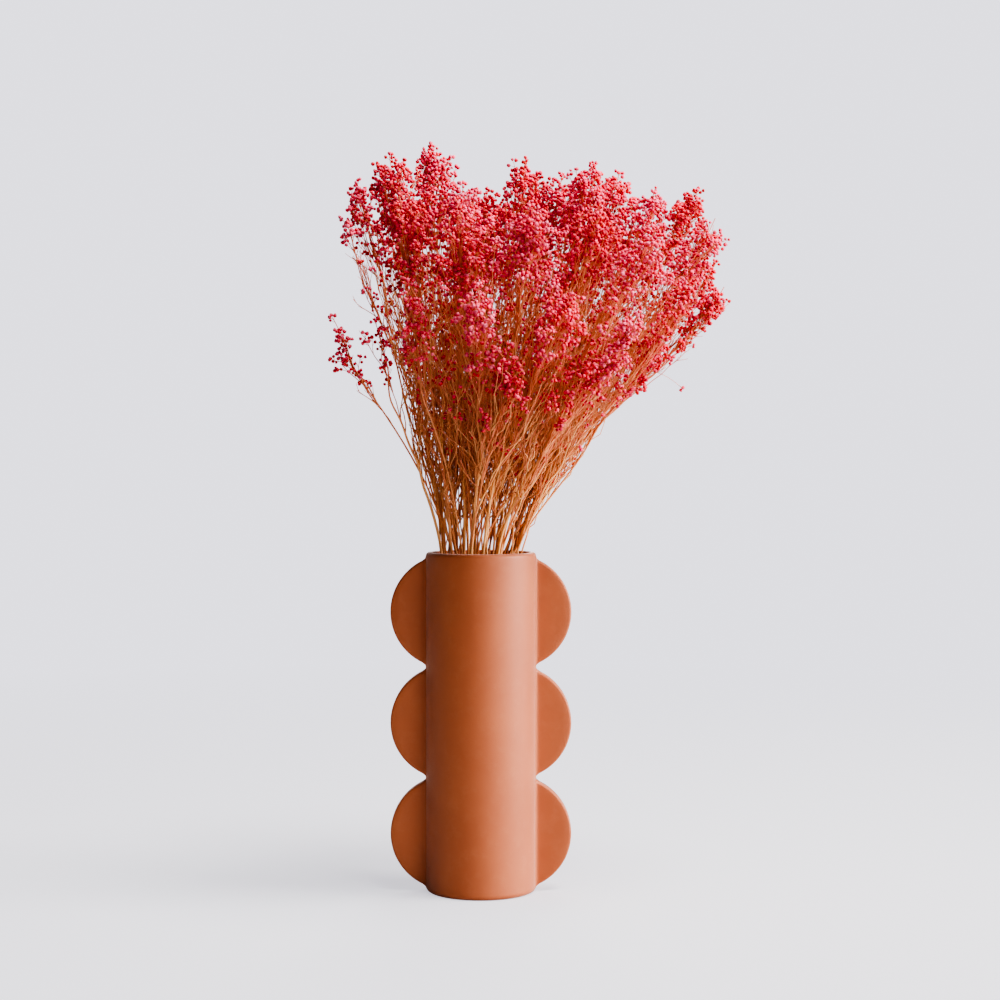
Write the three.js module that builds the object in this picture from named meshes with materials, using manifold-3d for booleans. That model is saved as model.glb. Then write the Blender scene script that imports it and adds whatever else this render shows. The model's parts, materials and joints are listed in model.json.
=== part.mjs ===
// Dried broom bloom in a terracotta vase with scalloped sides. Millimetres, +Z up, the origin at the centre
// of the foot. The vase is one fired piece: an open cylinder with three round fins on each side. The bunch
// stands in it: thin brown stems that fork once on their way up, and a pink head of buds on each arm.
import * as THREE from "three";
import { mergeVertices } from "three/addons/utils/BufferGeometryUtils.js";
import Module from "manifold-3d";

const wasm = await Module();
wasm.setup();

// Driving dimensions of the vase. Its rounded edges are each one flat facet.
const VASE_HEIGHT = 240;
const VASE_RADIUS = 39;
const WALL = 5;
const FLOOR = 6;
const FOOT_ROUND = 3;
const LIP_ROUND_OUTSIDE = 2.5;
const LIP_ROUND_INSIDE = 1.5;
const FLOOR_ROUND = 6;
const VASE_SIDES = 36;
const FIN_RADIUS = 40;
const FIN_OFFSET = 24;
const FIN_THICKNESS = 10;
const FIN_EDGE_ROUND = 1.5;
const FIN_ARC_STEPS = 7;
const FIN_HEIGHTS = [41, 119.5, 198];
const FACETS_PER_ROUND = 1;

// Where the tips of the bunch are: two heads to a stem, the leader's first and its side arm's second.
const HEAD_TIPS = [
  [[-36, 25, 530], [-50, 66, 492]],
  [[-64, -8, 518], [-92, -28, 468]],
  [[-88, 16, 502], [-74, 52, 432]],
  [[-72, -45, 400], [-103, -18, 404]],
  [[-12, -35, 506], [-15, -80, 478]],
  [[-54, -62, 482], [-50, -74, 425]],
  [[0, -93, 420], [22, -82, 372]],
  [[31, -12, 519], [4, 32, 514]],
  [[58, 28, 508], [40, 58, 500]],
  [[35, -84, 472], [60, -96, 418]],
  [[78, -8, 516], [99, 32, 512]],
  [[80, -70, 476], [118, -64, 460]],
  [[122, -6, 494], [154, 12, 496]],
  [[162, -32, 472], [146, -52, 426]],
  [[168, 22, 446], [140, 52, 408]],
  [[170, -16, 426], [130, -30, 392]],
  [[106, -80, 402], [76, -72, 376]],
  [[2, 86, 486], [-16, 88, 424]],
  [[98, 78, 480], [100, 86, 408]],
];
const CROWN_CENTRE_X = 38;
const CROWN_REACH = [135, 98];

// The stems, from the vase's floor through its mouth to their heads.
const MOUTH_REACH = 30;
const FOOT_SHARE = 0.5;
const SEAT_GAP = 0.3;
const STEM_RADIUS = 1.1;
const ARM_RADIUS = 0.7;
const ARM_STEPS = 4;
const LOWEST_FORK = 0.1;
const FORK_SPREAD = 0.2;
const MOUTH_LEAN = 0.4;
const TIP_RISE = 0.25;
const ARM_TURNS = [0, 0.6];
const BOW_REACH = 0.35;
const TUBE_SIDES = 3;

// The heads: a fine twig with a tuft of buds on its end, and side twigs that leave it at knots.
const HEAD_LENGTH = 82;
const HEAD_SHARE = 0.62;
const KNOT_SHARES = [[0.27, 0.47, 0.66, 0.84], [0.42, 0.76]];
const KNOT_RADIUS = 0.95;
const FACE_STEP = 4;
const KNOT_LENGTH = 2.6;
const QUARTERS = [0, 0.25, 0.5, 0.75, 1];
const TWIG_RADIUS = 0.6;
const TWIG_LENGTHS = [16, 12, 8.5];
const TWIG_RISES = [0.85, 1.5, 0.4];

// The tufts: buds at their true size round an eight-sided heart, two deep on its upper side.
const BUD_RADIUS = 1.95;
const BUD_LENGTH = 3;
const HEART_HEIGHT = 2.7;
const TWIG_NECK = 0.8;
const BUD_LIFT = 0.2;
const INNER_WANDER = 0.15;
const OUTER_WANDER = 0.5;
const WANDER_SEED = 11;
const TOP_REACH = TWIG_NECK + HEART_HEIGHT + 2 * BUD_LENGTH;

// The room that each tuft takes, and how far it keeps from the others.
const TUFT_LIFT = 1.6;
const TUFT_RADIUS = 7.2;
const CLEARANCE = 0.5;
const OWN_SPACING = 0.85;

const UP = new THREE.Vector3(0, 0, 1);
const SIDEWAYS = new THREE.Vector3(1, 0, 0);
const GOLDEN_SHARE = (Math.sqrt(5) - 1) / 2;
const TINY = 1e-9;
const MERGE_DISTANCE = 1e-4;
const DRAW = { factor: 1664525, step: 1013904223, range: 2 ** 32 };

const point = (xyz) => new THREE.Vector3(...xyz);
const direction = (from, to) => to.clone().sub(from).normalize();
const between = (a, b, share) => a.clone().lerp(b, share).normalize();
const along = (from, way, distance) => from.clone().addScaledVector(way, distance);
const centreOf = ([p, q, r]) => p.clone().add(q).add(r).divideScalar(3);
const normalOf = ([p, q, r]) => q.clone().sub(p).cross(r.clone().sub(p)).normalize();
const label = (index) => String(index + 1).padStart(2, "0");

// Numbers from -0.5 to 0.5 that come out the same each time.
function seeded(seed) {
  let state = seed;
  return () => {
    state = (state * DRAW.factor + DRAW.step) % DRAW.range;
    return state / DRAW.range - 0.5;
  };
}

const random = seeded(WANDER_SEED);

// Solids and meshes

function solidOf(positions, faces) {
  const triVerts = new Uint32Array(faces);
  const vertProperties = new Float32Array(positions);
  return new wasm.Manifold(new wasm.Mesh({ numProp: 3, vertProperties, triVerts }));
}

// A closed three.js geometry as a solid, without the faces that shrink to nothing at a pole.
function solidFrom(geometry) {
  const bare = geometry.clone();
  bare.deleteAttribute("normal");
  bare.deleteAttribute("uv");
  const merged = mergeVertices(bare, MERGE_DISTANCE);
  const index = merged.index.array;
  const faces = [];
  for (let i = 0; i < index.length; i += 3) {
    const [a, b, c] = index.slice(i, i + 3);
    if (a !== b && b !== c && c !== a) faces.push(a, b, c);
  }
  return solidOf(merged.attributes.position.array, faces);
}

function meshOf(name, solid, material) {
  const { vertProperties, triVerts } = solid.getMesh();
  const geometry = new THREE.BufferGeometry();
  geometry.setAttribute("position", new THREE.BufferAttribute(Float32Array.from(vertProperties), 3));
  geometry.setIndex(new THREE.BufferAttribute(Uint32Array.from(triVerts), 1));
  geometry.computeVertexNormals();
  const mesh = new THREE.Mesh(geometry, material);
  mesh.name = name;
  return mesh;
}

// Three corners round a centre, square to a direction. The first is on the side that a reference points to.
function ring(centre, way, reference, radius, turn = 0) {
  const u = reference.clone().projectOnPlane(way).normalize();
  const v = new THREE.Vector3().crossVectors(way, u);
  return Array.from({ length: TUBE_SIDES }, (_, k) => {
    const angle = turn + (2 * Math.PI * k) / TUBE_SIDES;
    return along(along(centre, u, radius * Math.cos(angle)), v, radius * Math.sin(angle));
  });
}

// A shell under construction: its corners, and its faces as triples of corners.
class Shell {
  constructor() {
    this.corners = [];
    this.faces = [];
  }

  add(points) {
    return points.map((p) => this.corners.push(p) - 1);
  }

  placesOf(face) {
    return face.map((corner) => this.corners[corner]);
  }

  // The band of triangles between two rings.
  band(lower, upper) {
    return lower.flatMap((corner, k) => {
      const next = (k + 1) % lower.length;
      return [[corner, lower[next], upper[k]], [lower[next], upper[next], upper[k]]];
    });
  }

  // A bud grown from a face: eight-sided, with the face as its root. Its free end is returned as a face.
  bud(root, lean, wander) {
    const corners = this.placesOf(root);
    const middle = centreOf(corners);
    const stray = new THREE.Vector3(random(), random(), random()).multiplyScalar(wander);
    const way = along(normalOf(corners), lean, BUD_LIFT).add(stray).normalize();
    const opposite = middle.clone().sub(corners[2]);
    const end = this.add(ring(along(middle, way, BUD_LENGTH), way, opposite, BUD_RADIUS));
    this.faces.push(...this.band(root, end));
    return end;
  }

  // A tuft on the end of a twig: buds on all sides of its heart, and second ones on the upper buds.
  tuft(twigEnd, at, way) {
    const reference = this.corners[twigEnd[0]].clone().sub(at);
    const heart = along(at, way, TWIG_NECK);
    const shoulder = this.add(ring(heart, way, reference, BUD_RADIUS));
    const top = along(heart, way, HEART_HEIGHT);
    const crown = this.add(ring(top, way, reference, BUD_RADIUS, Math.PI / TUBE_SIDES));
    const sides = this.band(shoulder, crown);
    const lower = sides.filter((_, k) => k % 2 === 0);
    const upper = [...sides.filter((_, k) => k % 2 === 1), crown];
    this.faces.push(...this.band(twigEnd, shoulder));
    for (const face of lower) this.faces.push(this.bud(face, way, INNER_WANDER));
    for (const face of upper) {
      this.faces.push(this.bud(this.bud(face, way, INNER_WANDER), way, OUTER_WANDER));
    }
  }

  // A twig that narrows from a face to its end, and carries a tuft there.
  twig(face, way, length) {
    const corners = this.placesOf(face);
    const middle = centreOf(corners);
    const at = along(middle, way, length);
    const end = this.add(ring(at, way, corners[0].clone().sub(middle), TWIG_RADIUS));
    this.faces.push(...this.band(face, end));
    this.tuft(end, at, way);
  }

  solid() {
    return solidOf(this.corners.flatMap((p) => p.toArray()), this.faces.flat());
  }
}

// A tapering tube through the given stops.
function tube(stops) {
  const shell = new Shell();
  const rings = stops.map(({ at, way, radius }) => shell.add(ring(at, way, SIDEWAYS, radius)));
  const bands = rings.slice(1).flatMap((upper, k) => shell.band(rings[k], upper));
  shell.faces.push(rings[0].toReversed(), ...bands, rings.at(-1));
  return shell.solid();
}

// The vase

function turned(outline) {
  const geometry = new THREE.LatheGeometry(outline.getPoints(FACETS_PER_ROUND), VASE_SIDES);
  geometry.rotateX(Math.PI / 2);
  return solidFrom(geometry);
}

function outerForm() {
  const outline = new THREE.Path();
  outline.lineTo(VASE_RADIUS - FOOT_ROUND, 0);
  outline.absarc(VASE_RADIUS - FOOT_ROUND, FOOT_ROUND, FOOT_ROUND, -Math.PI / 2, 0, false);
  const lipCentre = [VASE_RADIUS - LIP_ROUND_OUTSIDE, VASE_HEIGHT - LIP_ROUND_OUTSIDE];
  outline.absarc(...lipCentre, LIP_ROUND_OUTSIDE, 0, Math.PI / 2, false);
  outline.lineTo(0, VASE_HEIGHT);
  return turned(outline);
}

function bore() {
  const radius = VASE_RADIUS - WALL;
  const above = VASE_HEIGHT + WALL;
  const outline = new THREE.Path();
  outline.moveTo(0, FLOOR);
  outline.lineTo(radius - FLOOR_ROUND, FLOOR);
  outline.absarc(radius - FLOOR_ROUND, FLOOR + FLOOR_ROUND, FLOOR_ROUND, -Math.PI / 2, 0, false);
  const lipCentre = [radius + LIP_ROUND_INSIDE, VASE_HEIGHT - LIP_ROUND_INSIDE];
  outline.absarc(...lipCentre, LIP_ROUND_INSIDE, Math.PI, Math.PI / 2, true);
  outline.lineTo(radius + LIP_ROUND_INSIDE, above);
  outline.lineTo(0, above);
  return turned(outline);
}

// One level of fins: two discs of clay joined through the cylinder, with rounded edges.
function finPair(height) {
  const radius = FIN_RADIUS - FIN_EDGE_ROUND;
  const outline = new THREE.Shape();
  outline.absarc(FIN_OFFSET, 0, radius, -Math.PI / 2, Math.PI / 2, false);
  outline.absarc(-FIN_OFFSET, 0, radius, Math.PI / 2, (3 * Math.PI) / 2, false);
  const slab = new THREE.ExtrudeGeometry(outline, {
    depth: FIN_THICKNESS - 2 * FIN_EDGE_ROUND,
    bevelSize: FIN_EDGE_ROUND,
    bevelThickness: FIN_EDGE_ROUND,
    bevelSegments: FACETS_PER_ROUND,
    curveSegments: FIN_ARC_STEPS,
  });
  slab.translate(0, 0, FIN_EDGE_ROUND - FIN_THICKNESS / 2);
  slab.rotateX(Math.PI / 2);
  slab.translate(0, 0, height);
  return solidFrom(slab);
}

function vase() {
  const finned = FIN_HEIGHTS.reduce((form, height) => form.add(finPair(height)), outerForm());
  return finned.subtract(bore());
}

// The courses of the stems

// A curve that leaves one point and arrives at another in the given directions.
function bow(from, leaving, to, arriving) {
  const reach = BOW_REACH * from.distanceTo(to);
  return new THREE.CubicBezierCurve3(from, along(from, leaving, reach), along(to, arriving, -reach), to);
}

// Each stem goes through the mouth where its heads lie in the crown, so that no two of them cross.
function mouthPoint(tip) {
  const share = new THREE.Vector2((tip.x - CROWN_CENTRE_X) / CROWN_REACH[0], tip.y / CROWN_REACH[1]);
  share.clampLength(0, 1).multiplyScalar(MOUTH_REACH);
  return new THREE.Vector3(share.x, share.y, VASE_HEIGHT);
}

function stemCourse(tips, index) {
  const goals = tips.map(point);
  const middle = goals[0].clone().lerp(goals[1], 0.5);
  const mouth = mouthPoint(middle);
  const foot = new THREE.Vector3(mouth.x * FOOT_SHARE, mouth.y * FOOT_SHARE, FLOOR + SEAT_GAP);
  const rising = between(UP, direction(mouth, middle), MOUTH_LEAN);
  const below = bow(foot, direction(foot, mouth), mouth, rising);
  const above = bow(mouth, rising, middle, between(direction(mouth, middle), UP, TIP_RISE));
  const forkShare = LOWEST_FORK + FORK_SPREAD * ((index * GOLDEN_SHARE) % 1);
  const fork = above.getPoint(forkShare);
  const atFork = above.getTangent(forkShare);
  const arms = goals.map((tip, k) => {
    const straight = direction(fork, tip);
    return bow(fork, between(atFork, straight, ARM_TURNS[k]), tip, between(straight, UP, TIP_RISE));
  });
  return { below, above, forkShare, arms };
}

const stopOn = (curve, share, radius) => ({
  at: curve.getPointAt(share),
  way: curve.getTangentAt(share),
  radius,
});

// The head takes the end of its arm. Its base is told as a share of the arm's length.
function headStart(arm) {
  const length = arm.getLength();
  return 1 - Math.min(HEAD_LENGTH / length, HEAD_SHARE);
}

function armStops(arm, fromRadius) {
  const end = headStart(arm) - SEAT_GAP / arm.getLength();
  return Array.from({ length: ARM_STEPS + 1 }, (_, k) => {
    const share = k / ARM_STEPS;
    return stopOn(arm, end * share, THREE.MathUtils.lerp(fromRadius, ARM_RADIUS, share));
  });
}

function stem({ below, above, forkShare, arms }) {
  const trunk = [0, 0.5, 1].map((share) => stopOn(below, share, STEM_RADIUS));
  const half = forkShare / 2;
  const risen = { at: above.getPoint(half), way: above.getTangent(half), radius: STEM_RADIUS };
  const leader = [...trunk, risen, ...armStops(arms[0], STEM_RADIUS)];
  const side = armStops(arms[1], ARM_RADIUS);
  return tube(leader).add(tube(side));
}

// What is already in the bunch: tufts, and twigs as straight stretches of a given radius

const taken = [];

function takeTwig(owner, from, to, radius) {
  taken.push({ owner, from, to, radius, isTuft: false });
}

function takeTuft(owner, centre) {
  taken.push({ owner, from: centre, to: centre, radius: TUFT_RADIUS, isTuft: true });
}

function takeCourse(owner, places, radius) {
  for (let k = 1; k < places.length; k += 1) takeTwig(owner, places[k - 1], places[k], radius);
}

// The least distance between two straight stretches.
function apart(p1, q1, p2, q2) {
  const d1 = q1.clone().sub(p1);
  const d2 = q2.clone().sub(p2);
  const r = p1.clone().sub(p2);
  const a = d1.lengthSq();
  const e = d2.lengthSq();
  const b = d1.dot(d2);
  const c = d1.dot(r);
  const f = d2.dot(r);
  const skew = a * e - b * b;
  const clamp = (x) => Math.min(1, Math.max(0, x));
  let s = skew > TINY ? clamp((b * f - c * e) / skew) : 0;
  const t = e > TINY ? clamp((b * s + f) / e) : 0;
  s = a > TINY ? clamp((b * t - c) / a) : 0;
  return along(p1, d1, s).distanceTo(along(p2, d2, t));
}

function isClear(owner, from, to, radius) {
  return taken.every((other) => {
    const distance = apart(from, to, other.from, other.to);
    if (other.owner !== owner) return distance > radius + other.radius + CLEARANCE;
    return !other.isTuft || distance > OWN_SPACING * (radius + other.radius);
  });
}

// The heads

// A head takes the end of its arm: its places are told as shares of the way from its base to its last tuft.
function headPlan(arm, stemIndex, k) {
  const length = arm.getLength();
  const start = headStart(arm);
  const end = 1 - TOP_REACH / length;
  const place = (share, radius) => stopOn(arm, THREE.MathUtils.lerp(start, end, share), radius);
  return { name: `head_${label(stemIndex)}_${"ab"[k]}`, k, place, length: (end - start) * length };
}

const tuftCentre = (at, way) => along(at, way, TWIG_NECK + HEART_HEIGHT / 2 + TUFT_LIFT);

function takeStem({ below, above, forkShare, arms }, owners) {
  const trunk = QUARTERS.map((share) => below.getPoint(share));
  trunk.push(above.getPoint(forkShare / 2), above.getPoint(forkShare));
  takeCourse("trunk", trunk, STEM_RADIUS);
  arms.forEach((arm, k) => {
    const places = armStops(arm, ARM_RADIUS).map((stop) => stop.at);
    takeCourse(owners[k], places, ARM_RADIUS);
  });
}

function takeSpine({ name, place }) {
  const stops = QUARTERS.map((share) => place(share));
  const places = stops.map((stop) => stop.at);
  takeCourse(name, places, KNOT_RADIUS);
  takeTuft(name, tuftCentre(stops.at(-1).at, stops.at(-1).way));
}

// A side twig goes where there is room: the longest that is clear of all else, from a face of its knot.
function twigPlace(plan, shell, faces, firstTry) {
  for (const length of TWIG_LENGTHS) {
    for (const rise of TWIG_RISES) {
      for (let k = 0; k < faces.length; k += 1) {
        const face = faces[(firstTry + k) % faces.length];
        const corners = shell.placesOf(face);
        const way = along(normalOf(corners), plan.place(1).way, rise).normalize();
        const root = centreOf(corners);
        const end = along(root, way, length);
        const centre = tuftCentre(end, way);
        const tuftFits = isClear(plan.name, centre, centre, TUFT_RADIUS);
        const twigFits = isClear(plan.name, root, end, TWIG_RADIUS);
        if (tuftFits && twigFits) return { face, way, length, root, end, centre };
      }
    }
  }
  return null;
}

function head(plan, index) {
  const shell = new Shell();
  const half = KNOT_LENGTH / 2 / plan.length;
  const knots = KNOT_SHARES[plan.k].flatMap((share) => [share - half, share + half]);
  const stops = [
    plan.place(0, ARM_RADIUS),
    ...knots.map((share) => plan.place(share, KNOT_RADIUS)),
    plan.place(1, TWIG_RADIUS),
  ];
  const rings = stops.map(({ at, way, radius }) => shell.add(ring(at, way, SIDEWAYS, radius)));
  const bands = rings.slice(1).map((upper, k) => shell.band(rings[k], upper));
  KNOT_SHARES[plan.k].forEach((_, slot) => {
    const faces = bands[2 * slot + 1];
    const place = twigPlace(plan, shell, faces, index + FACE_STEP * slot);
    if (!place) return;
    faces.splice(faces.indexOf(place.face), 1);
    takeTuft(plan.name, place.centre);
    takeTwig(plan.name, place.root, place.end, TWIG_RADIUS);
    shell.twig(place.face, place.way, place.length);
  });
  shell.faces.push(rings[0].toReversed(), ...bands.flat());
  shell.tuft(rings.at(-1), stops.at(-1).at, stops.at(-1).way);
  return shell.solid();
}

// The whole

const terracotta = new THREE.MeshStandardMaterial({ name: "terracotta", color: 0xb4683c, roughness: 0.8 });
const twigBrown = new THREE.MeshStandardMaterial({ name: "dried twig", color: 0xa8632f, roughness: 0.85 });
const budPink = new THREE.MeshStandardMaterial({ name: "dried bud", color: 0xd0495c, roughness: 0.75 });
for (const material of [terracotta, twigBrown, budPink]) material.metalness = 0;

function build() {
  const bloom = new THREE.Group();
  bloom.name = "dried_broom_bloom_in_vase";
  bloom.add(meshOf("vase", vase(), terracotta));
  const courses = HEAD_TIPS.map(stemCourse);
  const plans = courses.flatMap(({ arms }, index) => arms.map((arm, k) => headPlan(arm, index, k)));
  courses.forEach((course, index) => {
    takeStem(course, [plans[2 * index].name, plans[2 * index + 1].name]);
    bloom.add(meshOf(`stem_${label(index)}`, stem(course), twigBrown));
  });
  plans.forEach(takeSpine);
  plans.forEach((plan, index) => bloom.add(meshOf(plan.name, head(plan, index), budPink)));
  return bloom;
}

export default build();
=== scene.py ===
import json
import math
import random

import bmesh
import bpy
import numpy as np
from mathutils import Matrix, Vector

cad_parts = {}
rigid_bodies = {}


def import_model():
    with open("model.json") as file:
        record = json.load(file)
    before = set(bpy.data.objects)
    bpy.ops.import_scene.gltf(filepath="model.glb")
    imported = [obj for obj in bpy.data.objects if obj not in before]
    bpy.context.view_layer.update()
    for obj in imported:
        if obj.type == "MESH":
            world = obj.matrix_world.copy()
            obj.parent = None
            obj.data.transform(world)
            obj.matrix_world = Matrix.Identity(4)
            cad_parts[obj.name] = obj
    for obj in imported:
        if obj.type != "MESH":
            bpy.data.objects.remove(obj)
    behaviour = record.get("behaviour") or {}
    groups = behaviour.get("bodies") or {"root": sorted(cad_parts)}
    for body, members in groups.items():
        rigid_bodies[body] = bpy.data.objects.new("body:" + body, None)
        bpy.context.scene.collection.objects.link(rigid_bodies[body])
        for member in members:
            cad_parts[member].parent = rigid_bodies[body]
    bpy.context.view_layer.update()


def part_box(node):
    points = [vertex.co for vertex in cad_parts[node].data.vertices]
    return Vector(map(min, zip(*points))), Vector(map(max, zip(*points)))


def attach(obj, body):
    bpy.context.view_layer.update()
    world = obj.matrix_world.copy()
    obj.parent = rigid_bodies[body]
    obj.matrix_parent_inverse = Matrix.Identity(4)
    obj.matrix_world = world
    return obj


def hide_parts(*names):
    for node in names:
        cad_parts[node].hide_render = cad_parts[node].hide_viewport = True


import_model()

# The vase
# One hollow cylinder of terracotta with three round fins down each side, cast in one mould and fired
# unglazed. The clay runs from the wall into each fin in a small fillet, and every edge is softly rounded.
MM = 0.001
VASE_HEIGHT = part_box("vase")[1].z / MM
VASE_RADIUS = 39
WALL = 5
FLOOR = 6
FOOT_ROUND = 3
LIP_ROUND_OUTSIDE = 2.5
LIP_ROUND_INSIDE = 1.5
FLOOR_ROUND = 6
FIN_RADIUS = 40
FIN_OFFSET = 24
FIN_HALF_THICKNESS = 5
FIN_EDGE_ROUND = 1.5
FIN_HEIGHTS = (41, 119.5, 198)
FILLET = 2.4
FIN_ROWS = 33
ROUND_STEPS = 4
BORE_ROWS = 24
ROWS_BETWEEN_FINS = (0.33, 0.67)
FLAT_EDGE_SHARES = np.array([0.5, 0, -0.5])
WALL_COLUMN_STEP = math.radians(3)
WALL_STEPS_BY_FIN = np.radians([0, 1.0, 2.2, 3.7, 5.7, 8.5])
FACE_SHARES = np.array([0, 0.03, 0.07, 0.13, 0.22, 0.36, 0.56, 0.79, 1])
WELD = 0.02 * MM
TINY = 1e-9


def past_rounded_edge(a, b, edge):
    """The distance to two flat sides whose common edge is rounded, from the distances past each side."""
    inside = np.minimum(np.maximum(a + edge, b + edge), 0)
    return inside + np.hypot(np.maximum(a + edge, 0), np.maximum(b + edge, 0)) - edge


def past_clay(points):
    """How far points lie outside the vase's outer surface, with the fins blended into the wall."""
    x, y, z = points.T
    half = VASE_HEIGHT / 2
    edge = np.where(z < half, FOOT_ROUND, LIP_ROUND_OUTSIDE)
    body = past_rounded_edge(np.hypot(x, y) - VASE_RADIUS, np.abs(z - half) - half, edge)
    fins = np.full(len(points), np.inf)
    for height in FIN_HEIGHTS:
        disc = np.hypot(np.maximum(np.abs(x) - FIN_OFFSET, 0), z - height) - FIN_RADIUS
        fins = np.minimum(fins, past_rounded_edge(disc, np.abs(y) - FIN_HALF_THICKNESS, FIN_EDGE_ROUND))
    overlap = np.maximum(FILLET - np.abs(body - fins), 0) / FILLET
    return np.minimum(body, fins) - overlap**2 * FILLET / 4


def settled(points, rounds=6, step=0.01):
    """Moves points straight onto the vase's outer surface."""
    points = points.copy()
    for _ in range(rounds):
        slope = [past_clay(points + step * axis) - past_clay(points - step * axis) for axis in np.eye(3)]
        slope = np.array(slope).T
        slope /= np.maximum(np.linalg.norm(slope, axis=1, keepdims=True), TINY)
        points -= past_clay(points)[:, None] * slope
    points[:, 2] = np.clip(points[:, 2], 0, VASE_HEIGHT)
    return points


def quarter(centre, radius, start, steps=ROUND_STEPS):
    """A quarter circle of (radius, height) pairs, anticlockwise from an angle in degrees."""
    angles = np.radians(np.linspace(start, start + 90, steps + 1))
    return [(centre[0] + radius * math.cos(a), centre[1] + radius * math.sin(a)) for a in angles]


class Skin:
    """A surface under construction, as points and four-sided faces."""

    def __init__(self):
        self.points = []
        self.faces = []

    def add_grid(self, grid, left_out=lambda row, column: False):
        """Faces over a grid of points: rows by columns by 3."""
        rows, columns, _ = grid.shape
        first = len(self.points)
        self.points.extend(grid.reshape(-1, 3))
        for row in range(rows - 1):
            for column in range(columns - 1):
                if left_out(row, column):
                    continue
                corner = first + row * columns + column
                self.faces.append((corner, corner + 1, corner + columns + 1, corner + columns))


# Plan angles of the wall's columns: even round the wall, closer by the fins, and in line with their edges.
rounding = np.linspace(0, math.pi / 2, ROUND_STEPS)
edge_ys = FIN_HALF_THICKNESS - FIN_EDGE_ROUND * (1 - np.cos(rounding))
edge_radii = FIN_RADIUS - FIN_EDGE_ROUND * (1 - np.sin(rounding))
band_ys = np.concatenate([edge_ys, edge_ys[-1] * FLAT_EDGE_SHARES, -edge_ys[::-1]])
flat_radii = np.full(len(FLAT_EDGE_SHARES), FIN_RADIUS)
band_radii = np.concatenate([edge_radii, flat_radii, edge_radii[::-1]])
fin_angles = np.arcsin(band_ys / VASE_RADIUS)
beside_fin = fin_angles[0] + WALL_STEPS_BY_FIN
plain_count = round((math.pi - 2 * beside_fin[-1]) / WALL_COLUMN_STEP)
plain = np.linspace(beside_fin[-1], math.pi - beside_fin[-1], plain_count)
half_turn = np.concatenate([fin_angles[::-1], beside_fin[1:], plain[1:-1], math.pi - beside_fin[:0:-1]])
wall_angles = np.concatenate([half_turn, half_turn + math.pi, half_turn[:1] + 2 * math.pi])
half_columns = len(half_turn)
fin_columns = len(fin_angles) - 1

# Heights of the wall's rows: those along the fins' roots are the fins' own.
root_x = math.sqrt(VASE_RADIUS**2 - FIN_HALF_THICKNESS**2)
root_angle = math.acos((root_x - FIN_OFFSET) / FIN_RADIUS)
root_reach = FIN_RADIUS * math.sin(root_angle)
fin_shares = np.linspace(-1, 1, FIN_ROWS)
outline = [(0, 0), *quarter((VASE_RADIUS - FOOT_ROUND, FOOT_ROUND), FOOT_ROUND, -90)]
for number, height in enumerate(FIN_HEIGHTS):
    if number:
        gap_low, gap_high = FIN_HEIGHTS[number - 1] + root_reach, height - root_reach
        outline += [(VASE_RADIUS, gap_low + (gap_high - gap_low) * share) for share in ROWS_BETWEEN_FINS]
    outline += [(VASE_RADIUS, height + root_reach * share) for share in fin_shares]
lip_centre = (VASE_RADIUS - LIP_ROUND_OUTSIDE, VASE_HEIGHT - LIP_ROUND_OUTSIDE)
outline += quarter(lip_centre, LIP_ROUND_OUTSIDE, 0)


def turned(outline):
    """The surface of revolution of (radius, height) pairs over the wall's columns."""
    radii, heights = np.array(outline).T
    flat = np.stack([np.cos(wall_angles), np.sin(wall_angles), np.zeros(len(wall_angles))], axis=1)
    return radii[:, None, None] * flat[None] + heights[:, None, None] * np.array([0, 0, 1])


def under_fin(row, column):
    """Whether a face of the wall is where a fin grows from it."""
    middle = (outline[row][1] + outline[row + 1][1]) / 2
    beside = any(abs(middle - height) < root_reach for height in FIN_HEIGHTS)
    return beside and outline[row][0] == VASE_RADIUS and column % half_columns < fin_columns


def fin(height, side):
    """One fin as a grid: each row goes from the wall out along the front, round the edge and back."""
    grid = np.zeros((FIN_ROWS, 2 * len(FACE_SHARES) + len(band_ys) - 2, 3))
    for row, share in enumerate(fin_shares):
        z = height + root_reach * share
        angle = root_angle * share
        if abs(share) == 1:
            xs = np.sqrt(VASE_RADIUS**2 - band_ys**2)
            zs = np.full(len(band_ys), z)
        else:
            xs = FIN_OFFSET + band_radii * math.cos(angle)
            zs = height + band_radii * math.sin(angle)
        band = np.stack([xs, band_ys, zs], axis=1)
        front_root = np.array([root_x, FIN_HALF_THICKNESS, z])
        back_root = front_root * (1, -1, 1)
        front = front_root + (band[0] - front_root) * FACE_SHARES[:-1, None]
        back = back_root + (band[-1] - back_root) * FACE_SHARES[-2::-1, None]
        grid[row] = np.concatenate([front, band, back])
    return grid * (side, 1, 1)


outer = Skin()
outer.add_grid(turned(outline), under_fin)
for height in FIN_HEIGHTS:
    outer.add_grid(fin(height, 1))
    outer.add_grid(fin(height, -1))
outer.points = list(settled(np.array(outer.points)))

bore_radius = VASE_RADIUS - WALL
bore_outline = [(VASE_RADIUS - LIP_ROUND_OUTSIDE, VASE_HEIGHT)]
bore_lip = (bore_radius + LIP_ROUND_INSIDE, VASE_HEIGHT - LIP_ROUND_INSIDE)
bore_outline += quarter(bore_lip, LIP_ROUND_INSIDE, 90)
bore_heights = np.linspace(VASE_HEIGHT - LIP_ROUND_INSIDE, FLOOR + FLOOR_ROUND, BORE_ROWS)[1:-1]
bore_outline += [(bore_radius, z) for z in bore_heights]
bore_outline += quarter((bore_radius - FLOOR_ROUND, FLOOR + FLOOR_ROUND), FLOOR_ROUND, -90)[::-1]
bore_outline.append((0, FLOOR))
outer.add_grid(turned(bore_outline))


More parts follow.
